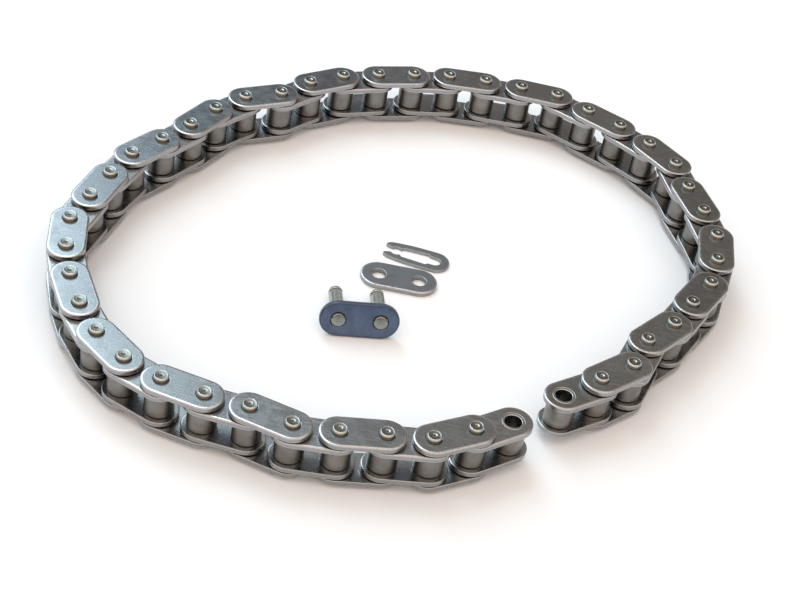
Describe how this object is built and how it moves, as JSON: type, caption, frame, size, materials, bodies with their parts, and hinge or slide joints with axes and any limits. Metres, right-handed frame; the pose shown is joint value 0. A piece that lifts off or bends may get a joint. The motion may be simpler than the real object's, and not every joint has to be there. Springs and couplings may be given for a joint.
{
  "type": "roller timing chain",
  "caption": "Single-strand riveted roller chain for a cam or timing drive, laid on its side in an open ring, with its spring-clip connecting link apart.",
  "frame": {"origin": "middle of the bounding box, at the surface that the chain lies on", "axes": "+Z along the pins, upwards from the lower pin ends; the ring's gap is at the front right, towards +X and -Y"},
  "size_m": [0.1552, 0.1468, 0.0133],
  "materials": {
    "inner_plate_steel": "satin, blanked and tumbled",
    "outer_link_steel": "satin, with riveted pin ends",
    "inner_link_steel": "satin, tumbled",
    "bush_steel": "ground, bright rim",
    "roller_steel": "satin, brownish heat-treated",
    "blued_steel": "dark blue oxide",
    "pin_steel": "ground, straw tint",
    "cover_steel": "satin, bright edge",
    "spring_steel": "dull grey"
  },
  "bodies": {
    "left_end_link": {"left_end_upper_plate": "inner_plate_steel", "left_end_lower_plate": "inner_plate_steel", "left_end_bushes": "bush_steel"},
    "left_end_open_roller": {"left_end_open_roller": "roller_steel"},
    "left_end_pinned_roller": {"left_end_pinned_roller": "roller_steel"},
    "outer_link_01": {"outer_link_01": "outer_link_steel"},
    "inner_link_02": {"inner_link_02": "inner_link_steel"},
    "outer_link_02": {"outer_link_02": "outer_link_steel"},
    "inner_link_03": {"inner_link_03": "inner_link_steel"},
    "outer_link_03": {"outer_link_03": "outer_link_steel"},
    "inner_link_04": {"inner_link_04": "inner_link_steel"},
    "outer_link_04": {"outer_link_04": "outer_link_steel"},
    "inner_link_05": {"inner_link_05": "inner_link_steel"},
    "outer_link_05": {"outer_link_05": "outer_link_steel"},
    "inner_link_06": {"inner_link_06": "inner_link_steel"},
    "outer_link_06": {"outer_link_06": "outer_link_steel"},
    "inner_link_07": {"inner_link_07": "inner_link_steel"},
    "outer_link_07": {"outer_link_07": "outer_link_steel"},
    "inner_link_08": {"inner_link_08": "inner_link_steel"},
    "outer_link_08": {"outer_link_08": "outer_link_steel"},
    "inner_link_09": {"inner_link_09": "inner_link_steel"},
    "outer_link_09": {"outer_link_09": "outer_link_steel"},
    "inner_link_10": {"inner_link_10": "inner_link_steel"},
    "outer_link_10": {"outer_link_10": "outer_link_steel"},
    "inner_link_11": {"inner_link_11": "inner_link_steel"},
    "outer_link_11": {"outer_link_11": "outer_link_steel"},
    "inner_link_12": {"inner_link_12": "inner_link_steel"},
    "outer_link_12": {"outer_link_12": "outer_link_steel"},
    "inner_link_13": {"inner_link_13": "inner_link_steel"},
    "outer_link_13": {"outer_link_13": "outer_link_steel"},
    "inner_link_14": {"inner_link_14": "inner_link_steel"},
    "outer_link_14": {"outer_link_14": "outer_link_steel"},
    "inner_link_15": {"inner_link_15": "inner_link_steel"},
    "outer_link_15": {"outer_link_15": "outer_link_steel"},
    "inner_link_16": {"inner_link_16": "inner_link_steel"},
    "outer_link_16": {"outer_link_16": "outer_link_steel"},
    "inner_link_17": {"inner_link_17": "inner_link_steel"},
    "outer_link_17": {"outer_link_17": "outer_link_steel"},
    "inner_link_18": {"inner_link_18": "inner_link_steel"},
    "outer_link_18": {"outer_link_18": "outer_link_steel"},
    "inner_link_19": {"inner_link_19": "inner_link_steel"},
    "outer_link_19": {"outer_link_19": "outer_link_steel"},
    "inner_link_20": {"inner_link_20": "inner_link_steel"},
    "outer_link_20": {"outer_link_20": "outer_link_steel"},
    "inner_link_21": {"inner_link_21": "inner_link_steel"},
    "outer_link_21": {"outer_link_21": "outer_link_steel"},
    "inner_link_22": {"inner_link_22": "inner_link_steel"},
    "outer_link_22": {"outer_link_22": "outer_link_steel"},
    "right_end_link": {"right_end_upper_plate": "inner_plate_steel", "right_end_lower_plate": "inner_plate_steel", "right_end_bushes": "bush_steel"},
    "right_end_open_roller": {"right_end_open_roller": "roller_steel"},
    "right_end_pinned_roller": {"right_end_pinned_roller": "roller_steel"},
    "connecting_link": {"connecting_plate": "blued_steel", "connecting_pins": "pin_steel"},
    "cover_plate": {"cover_plate": "cover_steel"},
    "spring_clip": {"spring_clip": "spring_steel"}
  },
  "joints": [
    {"name": "spring_clip_lift", "type": "slide", "parent": "inner_link_12", "child": "spring_clip", "axis": [0, 0, 1], "range_m": [0, 0.03]},
    {"name": "cover_plate_lift", "type": "slide", "parent": "inner_link_12", "child": "cover_plate", "axis": [0, 0, 1], "range_m": [0, 0.03]},
    {"name": "connecting_link_lift", "type": "slide", "parent": "inner_link_12", "child": "connecting_link", "axis": [0, 0, 1], "range_m": [0, 0.03]},
    {"name": "left_end_open_roller_spin", "type": "hinge", "parent": "left_end_link", "child": "left_end_open_roller", "pos_m": [0.02998, -0.0544, 0.00668], "axis": [0, 0, 1], "continuous": true},
    {"name": "left_end_pinned_roller_spin", "type": "hinge", "parent": "left_end_link", "child": "left_end_pinned_roller", "pos_m": [0.02248, -0.06027, 0.00668], "axis": [0, 0, 1], "continuous": true},
    {"name": "right_end_open_roller_spin", "type": "hinge", "parent": "right_end_link", "child": "right_end_open_roller", "pos_m": [0.04, -0.04359, 0.00668], "axis": [0, 0, 1], "continuous": true},
    {"name": "right_end_pinned_roller_spin", "type": "hinge", "parent": "right_end_link", "child": "right_end_pinned_roller", "pos_m": [0.0475, -0.03773, 0.00668], "axis": [0, 0, 1], "continuous": true},
    {"name": "pin_joint_01", "type": "hinge", "parent": "outer_link_01", "child": "left_end_link", "pos_m": [0.02248, -0.06027, 0.00668], "axis": [0, 0, -1], "range_deg": [-40, 40]},
    {"name": "pin_joint_44", "type": "hinge", "parent": "outer_link_22", "child": "right_end_link", "pos_m": [0.0475, -0.03773, 0.00668], "axis": [0, 0, -1], "range_deg": [-40, 40]},
    {"name": "pin_joint_02", "type": "hinge", "parent": "inner_link_02", "child": "outer_link_01", "pos_m": [0.0144, -0.06532, 0.00668], "axis": [0, 0, 1], "range_deg": [-40, 40]},
    {"name": "pin_joint_43", "type": "hinge", "parent": "inner_link_22", "child": "outer_link_22", "pos_m": [0.05435, -0.03111, 0.00668], "axis": [0, 0, 1], "range_deg": [-40, 40]},
    {"name": "pin_joint_03", "type": "hinge", "parent": "outer_link_02", "child": "inner_link_02", "pos_m": [0.00499, -0.06681, 0.00668], "axis": [0, 0, -1], "range_deg": [-40, 40]},
    {"name": "pin_joint_42", "type": "hinge", "parent": "outer_link_21", "child": "inner_link_22", "pos_m": [0.0573, -0.02205, 0.00668], "axis": [0, 0, -1], "range_deg": [-40, 40]},
    {"name": "pin_joint_04", "type": "hinge", "parent": "inner_link_03", "child": "outer_link_02", "pos_m": [-0.00439, -0.06846, 0.00668], "axis": [0, 0, 1], "range_deg": [-40, 40]},
    {"name": "pin_joint_41", "type": "hinge", "parent": "inner_link_21", "child": "outer_link_21", "pos_m": [0.06316, -0.01455, 0.00668], "axis": [0, 0, 1], "range_deg": [-40, 40]},
    {"name": "pin_joint_05", "type": "hinge", "parent": "outer_link_03", "child": "inner_link_03", "pos_m": [-0.01389, -0.06912, 0.00668], "axis": [0, 0, -1], "range_deg": [-40, 40]},
    {"name": "pin_joint_40", "type": "hinge", "parent": "outer_link_20", "child": "inner_link_21", "pos_m": [0.06734, -0.00599, 0.00668], "axis": [0, 0, -1], "range_deg": [-40, 40]},
    {"name": "pin_joint_06", "type": "hinge", "parent": "inner_link_04", "child": "outer_link_03", "pos_m": [-0.02309, -0.06666, 0.00668], "axis": [0, 0, 1], "range_deg": [-40, 40]},
    {"name": "pin_joint_39", "type": "hinge", "parent": "inner_link_20", "child": "outer_link_20", "pos_m": [0.07166, 0.0025, 0.00668], "axis": [0, 0, 1], "range_deg": [-40, 40]},
    {"name": "pin_joint_07", "type": "hinge", "parent": "outer_link_04", "child": "inner_link_04", "pos_m": [-0.03256, -0.06566, 0.00668], "axis": [0, 0, -1], "range_deg": [-36, 40]},
    {"name": "pin_joint_38", "type": "hinge", "parent": "outer_link_19", "child": "inner_link_20", "pos_m": [0.07331, 0.01188, 0.00668], "axis": [0, 0, -1], "range_deg": [-40, 37]},
    {"name": "pin_joint_08", "type": "hinge", "parent": "inner_link_05", "child": "outer_link_04", "pos_m": [-0.04188, -0.06368, 0.00668], "axis": [0, 0, 1], "range_deg": [-40, 33]},
    {"name": "pin_joint_37", "type": "hinge", "parent": "inner_link_19", "child": "outer_link_19", "pos_m": [0.07331, 0.0214, 0.00668], "axis": [0, 0, 1], "range_deg": [-33, 40]},
    {"name": "pin_joint_09", "type": "hinge", "parent": "outer_link_05", "child": "inner_link_05", "pos_m": [-0.05058, -0.05981, 0.00668], "axis": [0, 0, -1], "range_deg": [-31, 40]},
    {"name": "pin_joint_36", "type": "hinge", "parent": "outer_link_18", "child": "inner_link_19", "pos_m": [0.07021, 0.03041, 0.00668], "axis": [0, 0, -1], "range_deg": [-40, 33]},
    {"name": "pin_joint_10", "type": "hinge", "parent": "inner_link_06", "child": "outer_link_05", "pos_m": [-0.05788, -0.05369, 0.00668], "axis": [0, 0, 1], "range_deg": [-40, 29]},
    {"name": "pin_joint_35", "type": "hinge", "parent": "inner_link_18", "child": "outer_link_18", "pos_m": [0.06634, 0.03911, 0.00668], "axis": [0, 0, 1], "range_deg": [-23, 40]},
    {"name": "pin_joint_11", "type": "hinge", "parent": "outer_link_06", "child": "inner_link_06", "pos_m": [-0.06361, -0.04608, 0.00668], "axis": [0, 0, -1], "range_deg": [-28, 40]},
    {"name": "pin_joint_34", "type": "hinge", "parent": "outer_link_17", "child": "inner_link_18", "pos_m": [0.06308, 0.04806, 0.00668], "axis": [0, 0, -1], "range_deg": [-40, 20]},
    {"name": "pin_joint_12", "type": "hinge", "parent": "inner_link_07", "child": "outer_link_06", "pos_m": [-0.06808, -0.03767, 0.00668], "axis": [0, 0, 1], "range_deg": [-40, 5.5]},
    {"name": "pin_joint_33", "type": "hinge", "parent": "inner_link_17", "child": "outer_link_17", "pos_m": [0.05623, 0.05468, 0.00668], "axis": [0, 0, 1], "range_deg": [-20, 40]},
    {"name": "pin_joint_13", "type": "hinge", "parent": "outer_link_07", "child": "inner_link_07", "pos_m": [-0.0715, -0.02878, 0.00668], "axis": [0, 0, -1], "range_deg": [-3.5, 40]},
    {"name": "pin_joint_32", "type": "hinge", "parent": "outer_link_16", "child": "inner_link_17", "pos_m": [0.04843, 0.06014, 0.00668], "axis": [0, 0, -1], "range_deg": [-40, 20]},
    {"name": "pin_joint_14", "type": "hinge", "parent": "inner_link_08", "child": "outer_link_07", "pos_m": [-0.07331, -0.01943, 0.00668], "axis": [0, 0, 1], "range_deg": [-40, 3]},
    {"name": "pin_joint_31", "type": "hinge", "parent": "inner_link_16", "child": "outer_link_16", "pos_m": [0.03994, 0.06447, 0.00668], "axis": [0, 0, 1], "range_deg": [-22, 40]},
    {"name": "pin_joint_15", "type": "hinge", "parent": "outer_link_08", "child": "inner_link_08", "pos_m": [-0.07133, -0.01011, 0.00668], "axis": [0, 0, -1], "range_deg": [-2.5, 40]},
    {"name": "pin_joint_30", "type": "hinge", "parent": "outer_link_15", "child": "inner_link_16", "pos_m": [0.03145, 0.06879, 0.00668], "axis": [0, 0, -1], "range_deg": [-40, 25]},
    {"name": "pin_joint_16", "type": "hinge", "parent": "inner_link_09", "child": "outer_link_08", "pos_m": [-0.06919, -0.00083, 0.00668], "axis": [0, 0, 1], "range_deg": [-40, 2.5]},
    {"name": "pin_joint_29", "type": "hinge", "parent": "inner_link_15", "child": "outer_link_15", "pos_m": [0.02193, 0.06912, 0.00668], "axis": [0, 0, 1], "range_deg": [-27, 40]},
    {"name": "pin_joint_17", "type": "hinge", "parent": "outer_link_09", "child": "inner_link_09", "pos_m": [-0.06641, 0.00828, 0.00668], "axis": [0, 0, -1], "range_deg": [-2.5, 40]},
    {"name": "pin_joint_28", "type": "hinge", "parent": "outer_link_14", "child": "inner_link_15", "pos_m": [0.01242, 0.06879, 0.00668], "axis": [0, 0, -1], "range_deg": [-40, 4.5]},
    {"name": "pin_joint_18", "type": "hinge", "parent": "inner_link_10", "child": "outer_link_09", "pos_m": [-0.06108, 0.01618, 0.00668], "axis": [0, 0, 1], "range_deg": [-40, 2]},
    {"name": "pin_joint_27", "type": "hinge", "parent": "inner_link_14", "child": "outer_link_14", "pos_m": [0.00294, 0.0678, 0.00668], "axis": [0, 0, 1], "range_deg": [-3, 40]},
    {"name": "pin_joint_19", "type": "hinge", "parent": "outer_link_10", "child": "inner_link_10", "pos_m": [-0.05603, 0.02425, 0.00668], "axis": [0, 0, -1], "range_deg": [-2, 40]},
    {"name": "pin_joint_26", "type": "hinge", "parent": "outer_link_13", "child": "inner_link_14", "pos_m": [-0.00621, 0.06517, 0.00668], "axis": [0, 0, -1], "range_deg": [-40, 3]},
    {"name": "pin_joint_20", "type": "hinge", "parent": "inner_link_11", "child": "outer_link_10", "pos_m": [-0.05171, 0.03274, 0.00668], "axis": [0, 0, 1], "range_deg": [-40, 2]},
    {"name": "pin_joint_25", "type": "hinge", "parent": "inner_link_13", "child": "outer_link_13", "pos_m": [-0.01516, 0.06191, 0.00668], "axis": [0, 0, 1], "range_deg": [-2.5, 40]},
    {"name": "pin_joint_21", "type": "hinge", "parent": "outer_link_11", "child": "inner_link_11", "pos_m": [-0.04584, 0.04025, 0.00668], "axis": [0, 0, -1], "range_deg": [-2, 40]},
    {"name": "pin_joint_24", "type": "hinge", "parent": "outer_link_12", "child": "inner_link_13", "pos_m": [-0.02387, 0.05804, 0.00668], "axis": [0, 0, -1], "range_deg": [-40, 2.5]},
    {"name": "pin_joint_22", "type": "hinge", "parent": "inner_link_12", "child": "outer_link_11", "pos_m": [-0.0376, 0.04501, 0.00668], "axis": [0, 0, 1], "range_deg": [-40, 2]},
    {"name": "pin_joint_23", "type": "hinge", "parent": "inner_link_12", "child": "outer_link_12", "pos_m": [-0.03147, 0.05231, 0.00668], "axis": [0, 0, 1], "range_deg": [-2, 40]}
  ]
}
